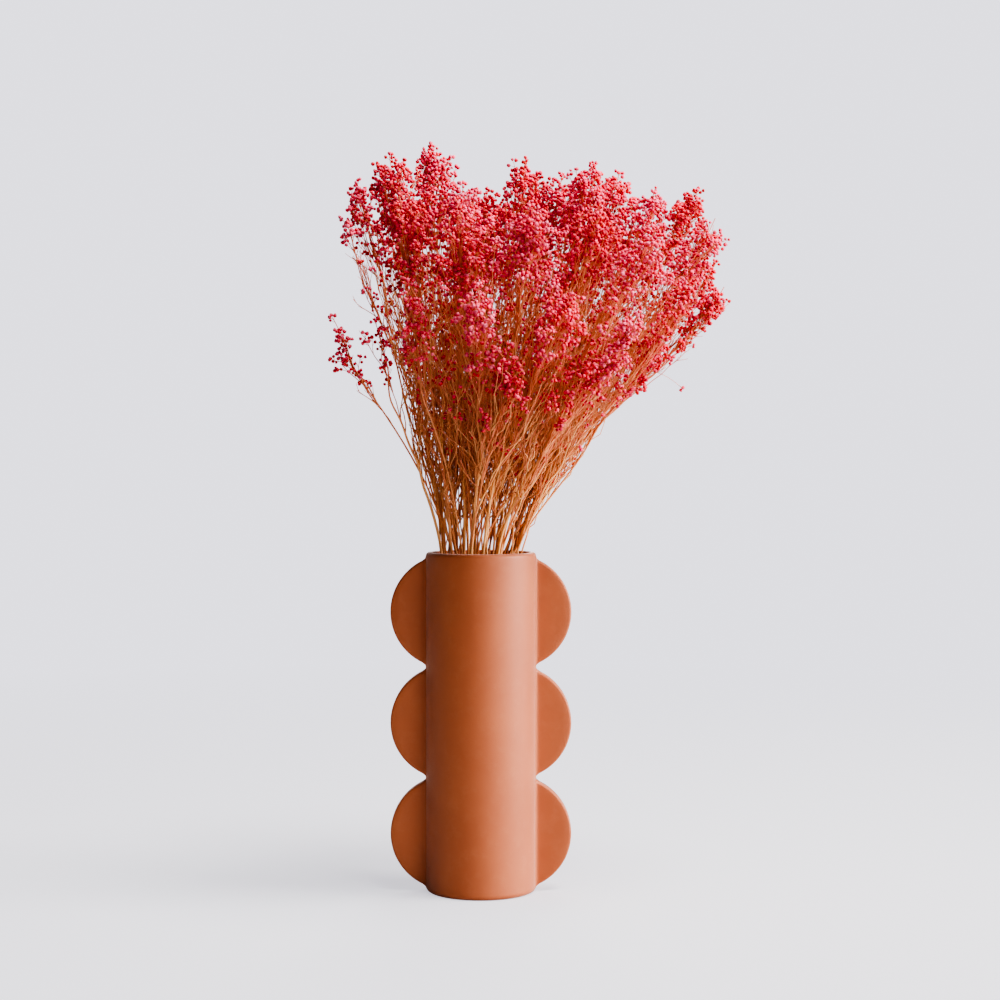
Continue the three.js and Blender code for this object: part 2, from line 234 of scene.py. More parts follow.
def mesh_from(name, points, faces, scale=MM):
    """A closed mesh in metres with its doubles merged and its faces outward."""
    form = bmesh.new()
    corners = [form.verts.new(np.asarray(p) * scale) for p in points]
    for face in faces:
        form.faces.new([corners[k] for k in face])
    bmesh.ops.remove_doubles(form, verts=form.verts, dist=WELD)
    bmesh.ops.dissolve_degenerate(form, edges=form.edges, dist=WELD)
    bmesh.ops.recalc_face_normals(form, faces=form.faces)
    for face in form.faces:
        face.smooth = True
    mesh = bpy.data.meshes.new(name)
    form.to_mesh(mesh)
    form.free()
    return mesh


def placed(name, content):
    """A new object at the origin that carries a mesh, a light or a camera."""
    piece = bpy.data.objects.new(name, content)
    bpy.context.scene.collection.objects.link(piece)
    return piece


class Finish:
    """A node material under construction. Its patterns are fixed to the object."""

    def __init__(self, name, **settings):
        self.material = bpy.data.materials.new(name)
        self.material.use_nodes = True
        self.nodes = self.material.node_tree.nodes
        self.shader = self.nodes["Principled BSDF"]
        for socket, value in settings.items():
            self.shader.inputs[socket.replace("_", " ")].default_value = value
        self.place = self.node("ShaderNodeTexCoord").outputs["Object"]

    def node(self, kind, **inputs):
        """A node with its sockets set to values or joined to other sockets."""
        made = self.nodes.new(kind)
        for socket, value in inputs.items():
            self.feed(made.inputs[socket.replace("_", " ")], value)
        return made

    def feed(self, socket, value):
        if isinstance(value, bpy.types.NodeSocket):
            self.material.node_tree.links.new(value, socket)
        else:
            socket.default_value = value

    def noise(self, grain, detail, rough):
        """Noise with features of about the given size in millimetres, from 0 to 1."""
        made = self.node("ShaderNodeTexNoise", Vector=self.place, Scale=1 / (grain * MM))
        made.inputs["Detail"].default_value = detail
        made.inputs["Roughness"].default_value = rough
        return made.outputs["Fac"]

    def attribute(self, name):
        made = self.node("ShaderNodeAttribute")
        made.attribute_name = name
        return made.outputs["Fac"]

    def spread(self, value, low, high, low_to=0.0, high_to=1.0):
        """A value mapped from one range onto another, and held within it."""
        made = self.node("ShaderNodeMapRange", Value=value)
        limits = {"From Min": low, "From Max": high, "To Min": low_to, "To Max": high_to}
        for socket, number in limits.items():
            made.inputs[socket].default_value = number
        return made.outputs["Result"]

    def colours(self, value, *stops):
        """A colour ramp through (place, colour) stops."""
        made = self.node("ShaderNodeValToRGB", Fac=value)
        ramp = made.color_ramp
        for number, (place, colour) in enumerate(stops):
            stop = ramp.elements[number] if number < 2 else ramp.elements.new(place)
            stop.position = place
            stop.color = (*colour, 1)
        return made.outputs["Color"]

    def mixed(self, share, first, second):
        """Two colours mixed. The first and second are sockets or colours."""
        made = self.nodes.new("ShaderNodeMix")
        made.data_type = "RGBA"
        self.feed(made.inputs[0], share)
        for socket, colour in ((made.inputs[6], first), (made.inputs[7], second)):
            self.feed(socket, colour if isinstance(colour, bpy.types.NodeSocket) else (*colour, 1))
        return made.outputs[2]

    def relief(self, *layers):
        """Bumps of (height socket, depth in millimetres), one on top of the other."""
        normal = None
        for height, depth in layers:
            made = self.node("ShaderNodeBump", Height=height, Distance=depth * MM)
            made.inputs["Strength"].default_value = 1
            if normal:
                self.feed(made.inputs["Normal"], normal)
            normal = made.outputs["Normal"]
        self.feed(self.shader.inputs["Normal"], normal)

    def wear(self, colour, roughness=None):
        """The finished material, with its colour and perhaps its roughness joined."""
        self.feed(self.shader.inputs["Base Color"], colour)
        if roughness:
            self.feed(self.shader.inputs["Roughness"], roughness)
        return self.material


CLAY = (0.51, 0.148, 0.054)
CLAY_DEEP = (0.46, 0.124, 0.044)
CLAY_DUST = (0.58, 0.225, 0.105)
CLAY_SHEEN = (1.0, 0.9, 0.88, 1)
DENT_DEPTH = 0.08
GRAIN_DEPTH = 0.08
clay = Finish(
    "fired terracotta",
    Specular_IOR_Level=0.75,
    Sheen_Weight=0.55,
    Sheen_Roughness=0.4,
    Sheen_Tint=CLAY_SHEEN,
)
clouds = clay.spread(clay.noise(38, detail=4, rough=0.5), 0.3, 0.7)
dust = clay.spread(clay.noise(9, detail=5, rough=0.6), 0.5, 0.9, low_to=0, high_to=0.3)
specks = clay.spread(clay.noise(0.9, detail=1, rough=0.5), 0.62, 0.74, low_to=0, high_to=0.22)
grain = clay.noise(0.5, detail=3, rough=0.6)
dents = clay.noise(20, detail=3, rough=0.5)
body_colour = clay.mixed(clouds, CLAY_DEEP, CLAY)
dusty = clay.mixed(dust, body_colour, CLAY_DUST)
speckled = clay.mixed(specks, dusty, CLAY_DEEP)
clay.relief((dents, DENT_DEPTH), (grain, GRAIN_DEPTH))
terracotta = clay.wear(speckled, clay.spread(grain, 0.25, 0.75, low_to=0.48, high_to=0.62))

vase = placed("terracotta_vase", mesh_from("terracotta_vase", outer.points, outer.faces))
vase.data.materials.append(terracotta)
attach(vase, "root")
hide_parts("vase")

# The dried stems
# Thin woody stems, golden brown and slightly crooked, that stand on the vase's floor, spread through its
# mouth and fork on the way up. A companion carries each side arm, and two thin stems stand beside each.
HEAD_TIPS = (
    ((-36, 25, 530), (-50, 66, 492)),
    ((-64, -8, 518), (-92, -28, 468)),
    ((-88, 16, 502), (-74, 52, 432)),
    ((-72, -45, 400), (-103, -18, 404)),
    ((-12, -35, 494), (-15, -80, 478)),
    ((-54, -62, 482), (-50, -74, 425)),
    ((0, -93, 420), (22, -82, 372)),
    ((31, -12, 514), (4, 32, 498)),
    ((58, 28, 508), (40, 58, 500)),
    ((35, -84, 472), (60, -96, 418)),
    ((78, -8, 512), (99, 32, 510)),
    ((80, -70, 476), (118, -64, 460)),
    ((122, -6, 494), (154, 12, 496)),
    ((162, -32, 472), (146, -52, 426)),
    ((168, 22, 446), (140, 52, 408)),
    ((170, -16, 426), (130, -30, 392)),
    ((106, -80, 402), (76, -72, 376)),
    ((2, 86, 486), (-16, 88, 424)),
    ((98, 78, 480), (100, 86, 408)),
)
CROWN_CENTRE_X = 38
CROWN_REACH = (135, 98)
CROWN_HEIGHT = 440
MOUTH_REACH = 30
BUNCH_REACH = (132, 104)
MOST_RISE = 1.1
DEPTH_BEFORE_WIDTH = 1.7
FOOT_SHARE = 0.5
SEAT_GAP = 0.3
LOWEST_FORK = 0.1
FORK_SPREAD = 0.2
MOUTH_LEAN = 0.4
TIP_RISE = 0.25
ARM_TURNS = (0, 0.6)
BOW_REACH = 0.35
FOOT_STEPS = 12
TRUNK_STEPS = 6
ARM_STEPS = 28
BEND_PARTS = (1, 0.45)
BEND_FADE = 0.7
BEND_WAVES = (0.8, 1.25)
TRUNK_BENDS = (0.8, 90)
ARM_BENDS = (1.6, 95)
THIN_BENDS = (2.5, 70)
GOLDEN_SHARE = (math.sqrt(5) - 1) / 2
GOLDEN_TURN = 2 * math.pi * GOLDEN_SHARE
UP = np.array([0.0, 0.0, 1.0])
FOOT_GIRTH = 1.1
STEM_GIRTH = 1.0
TIP_GIRTH = 0.26
STEM_SIDES = 7
STEM_TONES = (0.3, 0.85)
FORK_DYE = 0.05
TIP_DYE = 0.8
COMPANION_GIRTH = 0.85
COMPANION_TONES = (0.3, 0.9)
COMPANION_STEP = 5
COMPANION_INWARD = 0.84
COMPANION_CLOSING = 0.8
COMPANION_JOINS = 0.42
COMPANION_TURN = 0.5
COMPANION_STEPS = (8, 10, 19)
THIN_STEMS = 2
THIN_GIRTH = 0.7
THIN_TONES = (0.02, 0.2, 0.4, 0.6, 0.75, 0.9)
THIN_TIP_DYE = 0.5
THIN_CROSSING = 0.9
THIN_TOPS = (365, 440)
THIN_REACH = (120, 83)
THIN_MOUTH_AREA = (0.05, 0.95)
THIN_TOP_AREA = (0.05, 0.85)
THIN_TURN = 0.6
THIN_TIP_RISE = 0.2
THIN_STEPS = (6, 16)
SEED = 20
rng = random.Random(SEED)


def unit(way):
    return way / max(np.linalg.norm(way), TINY)


def between(first, second, share):
    return unit(first + (second - first) * share)


def bow_points(start, leaving, end, arriving, t):
    """Points of a curve that leaves one point and arrives at another in the given directions."""
    reach = BOW_REACH * np.linalg.norm(end - start)
    t = np.asarray(t, float)[:, None]
    handles = (start, start + leaving * reach, end - arriving * reach, end)
    weights = ((1 - t) ** 3, 3 * t * (1 - t) ** 2, 3 * t * t * (1 - t), t**3)
    return sum(weight * handle for weight, handle in zip(weights, handles))


def risen(height):
    """How far up the bunch a height lies: 0 at the vase's mouth and 1 where the bunch is widest."""
    return (height - VASE_HEIGHT) / (CROWN_HEIGHT - VASE_HEIGHT)


def out_of_crown(place):
    """How far out of the bunch a point lies: 0 at its middle and 1 at its edge."""
    rise = min(MOST_RISE, max(0, risen(place[2])))
    reach_x = MOUTH_REACH + (BUNCH_REACH[0] - MOUTH_REACH) * rise
    reach_y = MOUTH_REACH + (BUNCH_REACH[1] - MOUTH_REACH) * min(1, DEPTH_BEFORE_WIDTH * rise)
    return math.hypot((place[0] - CROWN_CENTRE_X * rise) / reach_x, place[1] / reach_y)


class Course:
    """A path through points, read by the share of its length."""

    def __init__(self, points):
        self.points = np.asarray(points, float)
        steps = np.linalg.norm(np.diff(self.points, axis=0), axis=1)
        self.reach = np.concatenate([[0], np.cumsum(steps)])
        self.length = self.reach[-1]

    def at(self, share):
        distance = np.clip(share, 0, 1) * self.length
        return np.array([np.interp(distance, self.reach, axis) for axis in self.points.T]).T

    def way(self, share, step=0.02):
        return unit(self.at(share + step) - self.at(share - step))

    def wandering(self, size, wave):
        """The same course with slight bends, which die out at its ends."""
        ends = self.points[-1] - self.points[0]
        any_way = (rng.uniform(-1, 1), rng.uniform(-1, 1), 0.2)
        side = unit(np.cross(ends, any_way))
        other = unit(np.cross(ends, side))
        shares = self.reach / self.length
        fade = np.sin(np.pi * shares) ** BEND_FADE
        bends = np.zeros_like(self.points)
        for axis in (side, other):
            for part in BEND_PARTS:
                phase = rng.uniform(0, 2 * math.pi)
                cycles = self.length / (wave * part * rng.uniform(*BEND_WAVES))
                bends += np.outer(size * part * np.sin(2 * np.pi * cycles * shares + phase) * fade, axis)
        return Course(self.points + bends)


def bow(start, leaving, end, arriving, steps):
    return Course(bow_points(start, leaving, end, arriving, np.linspace(0, 1, steps + 1)))


def offshoot(root, way, goal, turned, last, leant, steps):
    """A course that leaves another turned towards its goal, and ends leant towards a last direction."""
    straight = unit(goal - root)
    return bow(root, between(way, straight, turned), goal, between(straight, last, leant), steps)


def foot_under(mouth):
    """Where a stem stands on the vase's floor, from where it passes through the mouth."""
    return mouth * (FOOT_SHARE, FOOT_SHARE, 0) + (0, 0, FLOOR + SEAT_GAP)


def stem_course(index, tips):
    """The way of one stem below and above the vase's mouth, and of its two arms."""
    goals = [np.array(tip, float) for tip in tips]
    middle = (goals[0] + goals[1]) / 2
    share = np.array([(middle[0] - CROWN_CENTRE_X) / CROWN_REACH[0], middle[1] / CROWN_REACH[1]])
    share *= MOUTH_REACH / max(1, np.linalg.norm(share))
    mouth = np.array([*share, VASE_HEIGHT])
    foot = foot_under(mouth)
    straight = unit(middle - mouth)
    rising = between(UP, straight, MOUTH_LEAN)
    below = bow(foot, unit(mouth - foot), mouth, rising, FOOT_STEPS)
    fork_share = LOWEST_FORK + FORK_SPREAD * ((index * GOLDEN_SHARE) % 1)
    ends = (mouth, rising, middle, between(straight, UP, TIP_RISE))
    above = bow_points(*ends, np.linspace(0, fork_share, TRUNK_STEPS + 1))
    fork = above[-1]
    at_fork = unit(above[-1] - above[-2])
    arms = [
        offshoot(fork, at_fork, goal, turn, UP, TIP_RISE, ARM_STEPS) for goal, turn in zip(goals, ARM_TURNS)
    ]
    return {"below": below, "above": Course(above), "rising": rising, "mouth": mouth, "arms": arms}


def set_values(mesh, name, values):
    """Gives each point of a mesh a value of its own."""
    mesh.attributes.new(name, "FLOAT", "POINT").data.foreach_set("value", values)


class Twigs:
    """Fine tubes under construction: rows of points, with a girth, a dye and a tone at each point."""

    def __init__(self):
        self.rows = []

    def add(self, points, first_girth, last_girth, dye, tone):
        count = len(points)
        girths = np.linspace(first_girth, last_girth, count)
        self.rows.append((np.asarray(points), girths, np.linspace(*dye, count), np.full(count, tone)))

    def mesh(self, name):
        points = np.concatenate([row[0] for row in self.rows]) * MM
        lengths = [len(row[0]) for row in self.rows]
        edges = []
        first = 0
        for length in lengths:
            edges += [(k, k + 1) for k in range(first, first + length - 1)]
            first += length
        mesh = bpy.data.meshes.new(name)
        mesh.from_pydata(points.tolist(), edges, [])
        for number, attribute in enumerate(("girth", "dye", "tone"), 1):
            set_values(mesh, attribute, np.concatenate([row[number] for row in self.rows]))
        return mesh


def live(sockets):
    """The socket in use, of a node that has one for each kind of value."""
    return next(socket for socket in sockets if socket.enabled)


class Tree:
    """A Geometry Nodes tree under construction."""

    def __init__(self, name, *inputs):
        self.group = bpy.data.node_groups.new(name, "GeometryNodeTree")
        self.group.interface.new_socket("Geometry", in_out="INPUT", socket_type="NodeSocketGeometry")
        for label, kind in inputs:
            self.group.interface.new_socket(label, in_out="INPUT", socket_type=kind)
        self.group.interface.new_socket("Geometry", in_out="OUTPUT", socket_type="NodeSocketGeometry")
        self.given = self.group.nodes.new("NodeGroupInput").outputs
        self.result = self.group.nodes.new("NodeGroupOutput").inputs[0]

    def node(self, kind, settings=None, **inputs):
        made = self.group.nodes.new(kind)
        for setting, value in (settings or {}).items():
            setattr(made, setting, value)
        for socket, value in inputs.items():
            target = next(s for s in made.inputs if s.name == socket.replace("_", " ") and s.enabled)
            if isinstance(value, bpy.types.NodeSocket):
                self.group.links.new(value, target)
            else:
                target.default_value = value
        return made

    def attribute(self, name, kind="FLOAT"):
        return live(self.node("GeometryNodeInputNamedAttribute", {"data_type": kind}, Name=name).outputs)

    def times(self, first, second):
        """Two values multiplied."""
        made = self.node("ShaderNodeMath", {"operation": "MULTIPLY"}, Value=first)
        self.group.links.new(second, made.inputs[1])
        return made.outputs[0]

    def end(self, geometry, material):
        """The tree's last steps: no instances are left, and the finish is set."""
        whole = self.node("GeometryNodeRealizeInstances", Geometry=geometry)
        smooth = self.node("GeometryNodeSetShadeSmooth", Geometry=whole.outputs[0])
        dressed = self.node("GeometryNodeSetMaterial", Geometry=smooth.outputs[0], Material=material)
        self.group.links.new(dressed.outputs[0], self.result)

    def grown(self, name, mesh, **values):
        """The tree's result on a mesh, as a plain mesh in an object of its own."""
        piece = placed(name, mesh)
        modifier = piece.modifiers.new("grow", "NODES")
        modifier.node_group = self.group
        for item in self.group.interface.items_tree:
            if item.in_out == "INPUT" and item.name in values:
                modifier[item.identifier] = values[item.name]
        graph = bpy.context.evaluated_depsgraph_get()
        plain_mesh = bpy.data.meshes.new_from_object(
            piece.evaluated_get(graph), preserve_all_data_layers=True, depsgraph=graph
        )
        piece.modifiers.remove(modifier)
        piece.data = plain_mesh
        plain_mesh.name = name
        return piece


BARK_GOLD = (0.90, 0.44, 0.17)
BARK_BROWN = (0.58, 0.22, 0.11)
BARK_PALE = (0.98, 0.60, 0.28)
BARK_DYED = (0.84, 0.22, 0.15)
BARK_GREY = (0.16, 0.14, 0.10)
BARK_TONES = ((0.0, BARK_GREY), (0.06, BARK_BROWN), (0.55, BARK_GOLD), (1.0, BARK_PALE))
STREAK_DEPTH = 0.1
bark = Finish("dried bark", Roughness=0.6, Specular_IOR_Level=0.35)
own_colour = bark.colours(bark.attribute("tone"), *BARK_TONES)
dye_share = bark.spread(bark.attribute("dye"), 0.05, 0.7, low_to=0, high_to=0.85)
streaks = bark.noise(2.2, detail=4, rough=0.6)
streak_share = bark.spread(streaks, 0.35, 0.7, low_to=0, high_to=0.22)
bark.relief((streaks, STREAK_DEPTH))
dry_bark = bark.wear(bark.mixed(streak_share, bark.mixed(dye_share, own_colour, BARK_DYED), BARK_BROWN))

tubes = Tree("tubes along twigs", ("Sides", "NodeSocketInt"), ("Girth", "NodeSocketFloat"))
as_curves = tubes.node("GeometryNodeMeshToCurve", Mesh=tubes.given["Geometry"])
section = tubes.node("GeometryNodeCurvePrimitiveCircle", Resolution=tubes.given["Sides"], Radius=1.0)
swept = tubes.node(
    "GeometryNodeCurveToMesh",
    Curve=as_curves.outputs[0],
    Profile_Curve=section.outputs[0],
    Scale=tubes.times(tubes.attribute("girth"), tubes.given["Girth"]),
    Fill_Caps=True,
)
tubes.end(swept.outputs[0], dry_bark)

courses = [stem_course(index, tips) for index, tips in enumerate(HEAD_TIPS)]
stem_arms = []
for index, course in enumerate(courses):
    stem = Twigs()
    tone = rng.uniform(*STEM_TONES)
    trunk = Course(np.concatenate([course["below"].points, course["above"].points[1:]]))
    stem.add(trunk.wandering(*TRUNK_BENDS).points, FOOT_GIRTH, STEM_GIRTH, (0, FORK_DYE), tone)
    arms = [arm.wandering(*ARM_BENDS) for arm in course["arms"]]
    stem.add(arms[0].points, STEM_GIRTH, TIP_GIRTH, (FORK_DYE, TIP_DYE), tone)
    # A companion stem has its own foot beside the first, and comes up into the side arm's course.
    shift = rng.uniform(0, 2 * math.pi)
    aside = COMPANION_STEP * np.array([math.cos(shift), math.sin(shift), 0])
    mouth = course["mouth"] * (COMPANION_INWARD, COMPANION_INWARD, 1) + aside * COMPANION_CLOSING
    foot = course["below"].points[0] + aside
    lower_steps, rise_steps, upper_steps = COMPANION_STEPS
    upper = arms[1].at(np.linspace(COMPANION_JOINS, 1, upper_steps + 1))
    leaving = between(course["rising"], unit(upper[0] - mouth), COMPANION_TURN)
    lower = bow(foot, unit(mouth - foot), mouth, leaving, lower_steps).points
    rise = bow(mouth, leaving, upper[0], unit(upper[1] - upper[0]), rise_steps).points
    way_up = np.concatenate([lower, rise[1:], upper[1:]])
    stem.add(way_up, COMPANION_GIRTH, TIP_GIRTH, (0, TIP_DYE), rng.uniform(*COMPANION_TONES))
    arms[1] = Course(np.concatenate([rise, upper[1:]]))
    # Thin stems cross between the others and end inside the bunch.
    mouth_side = math.atan2(course["mouth"][1], course["mouth"][0])
    for _ in range(THIN_STEMS):
        side = mouth_side + rng.uniform(-THIN_CROSSING, THIN_CROSSING)
        reach = MOUTH_REACH * math.sqrt(rng.uniform(*THIN_MOUTH_AREA))
        mouth = np.array([reach * math.cos(side), reach * math.sin(side), VASE_HEIGHT])
        side += rng.uniform(-THIN_CROSSING, THIN_CROSSING)
        height = rng.uniform(*THIN_TOPS)
        rise = risen(height)
        reach = math.sqrt(rng.uniform(*THIN_TOP_AREA))
        reach_x, reach_y = [(MOUTH_REACH + (widest - MOUTH_REACH) * rise) * reach for widest in THIN_REACH]
        top_x = CROWN_CENTRE_X * rise + reach_x * math.cos(side)
        top = np.array([top_x, reach_y * math.sin(side), height])
        foot = foot_under(mouth)
        straight = unit(top - mouth)
        leaving = between(unit(mouth - foot), straight, THIN_TURN)
        lower = bow(foot, unit(mouth - foot), mouth, leaving, THIN_STEPS[0]).points
        upper = bow(mouth, leaving, top, between(straight, UP, THIN_TIP_RISE), THIN_STEPS[1])
        upper = upper.wandering(*THIN_BENDS)
        way_up = np.concatenate([lower, upper.points[1:]])
        stem.add(way_up, THIN_GIRTH, TIP_GIRTH, (0, THIN_TIP_DYE), rng.choice(THIN_TONES))
        arms.append(upper)
    stem_arms.append(arms)
    piece = tubes.grown(f"dry_stem_{index + 1:02d}", stem.mesh("stem"), Sides=STEM_SIDES, Girth=MM)
    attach(piece, "root")
    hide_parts(f"stem_{index + 1:02d}")

# The heads
# Sprays of very fine twigs at the ends of the stems, hundreds to a stem, which fork at narrow angles like a
# broom. Their ends carry tiny rounded buds, dyed coral pink, in loose clusters on hair-thin stalks.
HEADS_PER_STEM = 2
PLUME_DEPTH = 46
PLUME_SHARE = 0.45
PLUME_GIRTH = 16
PLUME_TAPER = 1.3
PLUME_SWELL = 14
PLUME_FILL = (0.15, 1)
PLUME_EDGE = 0.95
DRAWN_IN = 0.6
TIP_DROP = 7
TIP_BUDS = 5
TIP_TONE = 0.5
SLENDER = {
    (3, 0): 0.1, (3, 1): 0.25, (2, 1): 0.2, (1, 1): 0.35, (2, 0): 0.55, (5, 1): 0.5,
    (6, 0): 0.7, (6, 1): 0.7, (12, 1): 0.8, (15, 1): 0.55, (16, 0): 0.8,
}
TWIG_SIDES = 3
SPRIGS_PER_ARM = 16
FEWEST_SPRIGS = 2
SHORTEST_SPRIG = 45
LOWEST_SPRIG = 0.03
SPRIG_SLOPE = (0.12, 0.24)
SPRIG_TURN = 0.55
SPRIG_ALONG = 0.4
SPRIG_RISE = 0.15
SPRIG_STEPS = 8
SPRIG_BEND = 1.6
SPRIG_WAVE = 45
BEND_SHARE = 0.02
SPRIG_GIRTH = (0.45, 0.24)
SPRIG_DYE = (0.3, 0.9)
SPRIG_TONES = (0.25, 0.9)
LEAVING_TURN = 0.5
BRANCHES_PER_SPRIG = (1, 2)
BRANCH_SHARES = (0.25, 0.62)
BRANCH_RUN = (0.75, 1.1)
BRANCH_SLOPE = (0.2, 0.4)
BRANCH_ALONG = 0.6
BRANCH_STEPS = 6
BRANCH_BEND = 1.2
BRANCH_WAVE = 40
BRANCH_GIRTH = (0.38, 0.22)
BEARING_LENGTH = 17
MOST_BEARING = 0.5
SIDES_PER_SPRIG = (3, 5)
SIDE_SCATTER = 0.8
SIDE_SLOPE = (0.35, 0.7)
SIDE_REACH = (4, 9)
SIDE_TURN = 0.6
SIDE_RISE = 0.25
SIDE_STEPS = 3
SIDE_GIRTH = (0.24, 0.16)
SIDE_DYE = (0.6, 0.95)
BUDS_PER_END = (3, 4)
TRIES_PER_BUD = 4
CLUMP_LENGTH = 3.5
END_STALK = {"slope": (0, 0.25), "reach": (0.6, 1.6)}
SIDE_STALK = {"slope": (0.5, 1.5), "reach": (1.4, 3.4)}
STALK_SCATTER = 0.5
STALK_IN_BUD = 0.3
STALK_GIRTH = (0.16, 0.12)
STALK_DYE = (0.9, 1)
BUD_RADIUS = 1.42
BUD_SIZES = (0.72, 1.15)
BUD_MIDDLE = 0.8
BUD_ROOM = 2.15
BUD_TONES = (0.25, 0.8)
BUD_TONE_SCATTER = 0.35
EDGE_OF_CROWN = 1.05
OUTLYING_STEMS = {3: 1.45, 15: 1.18}
BARE_BELOW = 305
FULL_ABOVE = 468
ABOVE_LOW_TIP = 20
FLANK_TOP = 462
FLANK_EDGE = -84
FLANK_FADE = 34
FLANK_SHARE = 0.12
BLOOM_CURVE = 1.5
CLUMP_WAVES = (11.0, 13.0, 15.0)
CLUMPING = 0.7
LOW_BLOOM = 0.24
HEAD_BLOOM = 0.05
LOW_TWIGS_PER_ARM = 13
LOW_TWIG_SHARES = (0.02, 0.6)
TRIES_PER_TWIG = 6
LOW_TWIG_RUN = (50, 140)
LOW_TWIG_SLOPE = (0.08, 0.62)
LOW_TWIG_EDGE = 0.88
HIGHEST_LOW_TWIG = 465
LOW_TWIG_RISE = 0.3
LOW_TWIG_STEPS = 8
LOW_TWIG_BENDS = (2.6, 40)
LOW_TWIG_GIRTH = (0.5, 0.25)
LOW_TWIG_DYE = (0.0, 0.55)
DARKEST_LOW_TWIG = 0.08
LOW_TONE_SWING = 0.46
LOW_FORKS = (2, 2, 3, 4)
LOW_FORK_SHARES = (0.15, 0.75)
LOW_FORK_RUN = (0.5, 1)
LOW_FORK_TURN = 2.5
LOW_FORK_SLOPE = (0.25, 0.8)
LOW_FORK_EDGE = 0.93
LOW_FORK_ALONG = 0.4
LOW_FORK_STEPS = 5
LOW_FORK_BENDS = (1.1, 26)
LOW_FORK_DYE = (0.1, 0.6)
LOW_BUDS_PER_END = (1, 3)
LOW_BUD_PAINTED_SHADE = 0.2
STRAY_ARM = (15, 1)
STRAY_ROOT = 0.82
STRAY_END = (138, -32, 356)
STRAY_WAY = (0.75, 0, -0.66)
STRAY_STEPS = 8
STRAY_DYE = (0.2, 0.8)
STRAY_STALK_DYE = (0.8, 1)
STRAY_TONE = 0.6
STRAY_BUDS = 3
STRAY_BUD_SIZE = 0.9
STRAY_STALK = 1.6
STRAY_SLOPE = 0.9


def across(way, turn):
    """A direction square to another, turned round it."""
    side = unit(np.cross(way, (0.3, 0.2, 1) if abs(way[2]) < 0.95 else (1, 0.2, 0)))
    return side * math.cos(turn) + np.cross(way, side) * math.sin(turn)


def leaning(way, turn, slope):
    return unit(way + across(way, turn) * slope)


def bloom(place, buds):
    """The share of twigs in bud: few low down and on the left flank, most near the top, and in clumps."""
    rise = min(1, max(0, (place[2] - BARE_BELOW) / (buds.full_above - BARE_BELOW))) ** BLOOM_CURVE
    if place[2] < FLANK_TOP:
        rise *= min(1, max(buds.flank_share, (place[0] - FLANK_EDGE) / FLANK_FADE))
    waves = [math.sin(along / wave + k) for k, (along, wave) in enumerate(zip(place, CLUMP_WAVES))]
    return rise * (1 + CLUMPING * math.prod(waves)) + buds.least_bloom


class Buds:
    """Buds under construction, kept a bud's room apart from all others by a grid of cells."""

    cells = {}

    def __init__(self, edge, flank_share):
        self.rows = []
        self.edge = edge
        self.flank_share = flank_share
        self.full_above = FULL_ABOVE
        self.least_bloom = LOW_BLOOM

    def fits(self, place):
        if out_of_crown(place) > self.edge:
            return False
        cell = tuple(np.floor(place / BUD_ROOM).astype(int))
        for dx in (-1, 0, 1):
            for dy in (-1, 0, 1):
                for dz in (-1, 0, 1):
                    for other in Buds.cells.get((cell[0] + dx, cell[1] + dy, cell[2] + dz), ()):
                        if np.sum((other - place) ** 2) < BUD_ROOM**2:
                            return False
        Buds.cells.setdefault(cell, []).append(place)
        return True

    def add(self, place, way, size, tone):
        self.rows.append((place, way, size, tone))

    def mesh(self, name):
        places, ways, sizes, tones = zip(*self.rows)
        mesh = bpy.data.meshes.new(name)
        mesh.from_pydata((np.array(places) * MM).tolist(), [], [])
        way_values = mesh.attributes.new("way", "FLOAT_VECTOR", "POINT").data
        way_values.foreach_set("vector", np.array(ways).ravel())
        set_values(mesh, "size", np.array(sizes))
        set_values(mesh, "tone", np.array(tones))
        return mesh


def bud_end(twigs, buds, course, tone, bud_tone, count):
    """The end of a twig: a tight clump of buds on short stalks, one of them on its very end."""
    start = rng.uniform(0, 2 * math.pi)
    if rng.random() > bloom(course.at(1), buds):
        return
    for number in range(count):
        stalk = SIDE_STALK if number else END_STALK
        for _ in range(TRIES_PER_BUD):
            share = 1 - rng.uniform(0, CLUMP_LENGTH) / course.length if number else 1.0
            root = course.at(share)
            slope = rng.uniform(*stalk["slope"])
            turn = start + number * GOLDEN_TURN + rng.uniform(-STALK_SCATTER, STALK_SCATTER)
            way = leaning(course.way(share), turn, slope)
            reach = rng.uniform(*stalk["reach"])
            size = BUD_RADIUS * rng.uniform(*BUD_SIZES)
            if buds.fits(root + way * (reach + size * BUD_MIDDLE)):
                twigs.add([root, root + way * (reach + STALK_IN_BUD)], *STALK_GIRTH, STALK_DYE, tone)
                own_tone = bud_tone + rng.uniform(-BUD_TONE_SCATTER, BUD_TONE_SCATTER)
                buds.add(root + way * reach, way, size, min(1, max(0, own_tone)))
                break


def shoot(twigs, buds, course, girth, sides, tone, bud_tone):
    """A fine twig with side twigs towards its end, all of which end in buds."""
    twigs.add(course.points, *girth, SPRIG_DYE, tone)
    turn = rng.uniform(0, 2 * math.pi)
    bearing = min(MOST_BEARING, BEARING_LENGTH / course.length)
    for number in range(sides):
        share = 1 - bearing * (1 - (number + rng.uniform(0, SIDE_SCATTER)) / sides)
        root = course.at(share)
        way = leaning(course.way(share), turn + number * GOLDEN_TURN, rng.uniform(*SIDE_SLOPE))
        goal = root + way * rng.uniform(*SIDE_REACH)
        leaving = between(course.way(share), way, SIDE_TURN)
        side = bow(root, leaving, goal, between(way, UP, SIDE_RISE), SIDE_STEPS)
        twigs.add(side.points, *SIDE_GIRTH, SIDE_DYE, tone)
        bud_end(twigs, buds, side, tone, bud_tone, rng.randint(*BUDS_PER_END))
    bud_end(twigs, buds, course, tone, bud_tone, rng.randint(*BUDS_PER_END) + 1)


